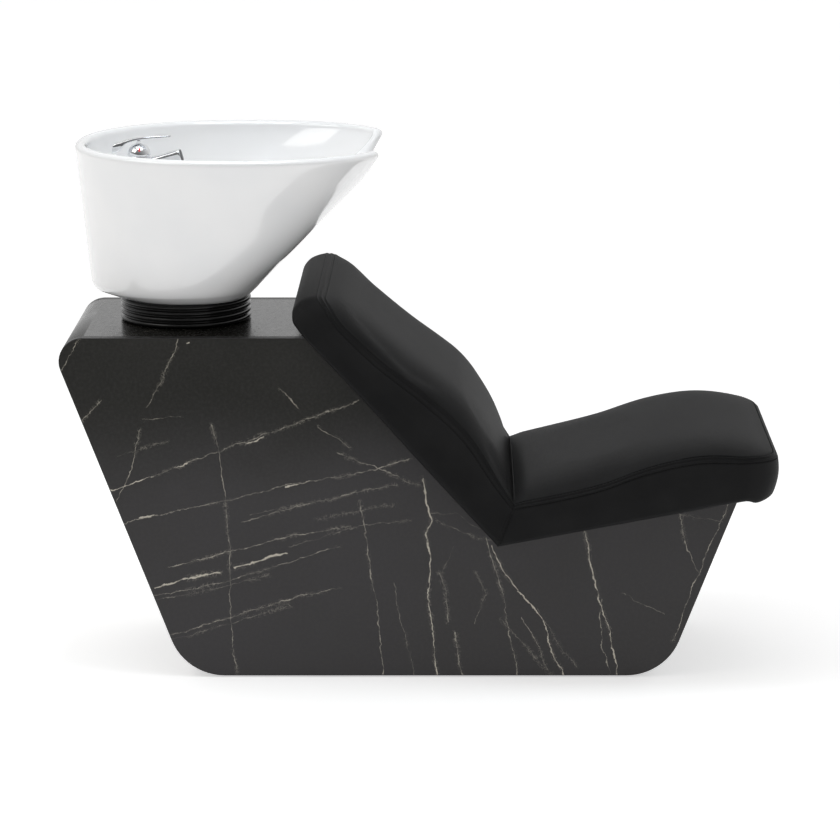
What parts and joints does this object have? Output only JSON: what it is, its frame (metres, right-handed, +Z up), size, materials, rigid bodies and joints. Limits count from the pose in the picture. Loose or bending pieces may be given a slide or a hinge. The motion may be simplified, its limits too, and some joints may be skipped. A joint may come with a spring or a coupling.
{
  "type": "shampoo backwash unit",
  "caption": "Salon backwash unit: tilting glazed basin with lever mixer and pull-out spray, over a dark stone-look cabinet that carries a padded back and seat.",
  "frame": {"origin": "on the floor, in the middle of the rectangle of four floor bolt holes, on the unit's mid-plane", "axes": "+X from the basin towards the sitter's feet, +Y to the sitter's left, +Z up"},
  "size_m": [1.3084, 0.57, 0.9805],
  "materials": {
    "marble_laminate": "satin",
    "shell_laminate": "satin",
    "black_edging": "satin",
    "frame_steel": "satin",
    "zinc_steel": "satin",
    "magnet": "satin",
    "nylon_black": "matte",
    "black_upholstery": "satin",
    "plywood": "matte",
    "white_ceramic": "gloss",
    "bellows_rubber": "gloss",
    "seal_rubber": "matte",
    "bronze": "satin",
    "stainless": "satin",
    "white_plastic": "satin",
    "chrome": "polished",
    "red_mark": "gloss",
    "spray_grey": "matte"
  },
  "bodies": {
    "base": {"back_board": "plywood", "back_cushion": "black_upholstery", "back_rails": "frame_steel", "basin_plate": "frame_steel", "bellows": "bellows_rubber", "bottom_rails": "frame_steel", "bracket_bolts": "zinc_steel", "catch_magnet": "magnet", "corner_tubes": "frame_steel", "cross_tubes": "frame_steel", "cushion_bolts": "zinc_steel", "door_stop": "frame_steel", "edge_band_left": "black_edging", "edge_band_right": "black_edging", "floor_brackets": "frame_steel", "floor_glides": "nylon_black", "front_posts": "frame_steel", "front_shell": "shell_laminate", "hinge_leaf_wall": "zinc_steel", "hinge_pin": "zinc_steel", "panel_screws": "zinc_steel", "pivot_bushes": "bronze", "rear_posts": "frame_steel", "rear_shell": "shell_laminate", "seat_board": "plywood", "seat_cushion": "black_upholstery", "seat_rails": "frame_steel", "side_panel_left": "marble_laminate", "side_panel_right": "marble_laminate", "tilt_bracket": "frame_steel", "top_rails": "frame_steel"},
    "service_door": {"service_door": "shell_laminate", "hinge_leaf_door": "zinc_steel", "door_pull": "black_edging"},
    "basin_carriage": {"basin": "white_ceramic", "tilt_carrier": "frame_steel", "carrier_gasket": "seal_rubber", "carrier_bolts": "zinc_steel", "pivot_pins": "zinc_steel", "friction_washers": "bronze", "waste_cup": "stainless", "waste_seal": "seal_rubber", "waste_nut": "white_plastic", "tailpiece": "white_plastic", "tail_nut": "white_plastic", "mixer_body": "chrome", "mixer_dome": "chrome", "heat_mark": "red_mark", "mixer_seal": "seal_rubber", "mixer_stud": "zinc_steel", "mixer_nut": "zinc_steel"},
    "mixer_stem": {"mixer_stem": "chrome"},
    "mixer_lever": {"mixer_lever": "chrome"},
    "hand_spray": {"hand_spray": "chrome", "spray_face": "spray_grey"},
    "hair_strainer": {"hair_strainer": "stainless"}
  },
  "joints": [
    {"name": "basin_tilt", "type": "hinge", "parent": "base", "child": "basin_carriage", "pos_m": [-0.438, 0, 0.66], "axis": [0, 1, 0], "range_deg": [-10, 10], "deforming": ["bellows"]},
    {"name": "mixer_temperature", "type": "hinge", "parent": "basin_carriage", "child": "mixer_stem", "pos_m": [-0.52, 0, 0.966], "axis": [0, 0, 1], "range_deg": [-45, 45]},
    {"name": "mixer_flow", "type": "hinge", "parent": "mixer_stem", "child": "mixer_lever", "pos_m": [-0.52, 0, 0.969], "axis": [0, -1, 0], "range_deg": [0, 20]},
    {"name": "spray_pull", "type": "slide", "parent": "basin_carriage", "child": "hand_spray", "axis": [0.9659, 0, 0.2588], "range_m": [0, 0.12]},
    {"name": "strainer_lift", "type": "slide", "parent": "basin_carriage", "child": "hair_strainer", "axis": [0, 0, 1], "range_m": [0, 0.06]},
    {"name": "service_door_hinge", "type": "hinge", "parent": "base", "child": "service_door", "pos_m": [-0.62212, 0, 0.49302], "axis": [0, 1, 0], "range_deg": [0, 95]}
  ]
}
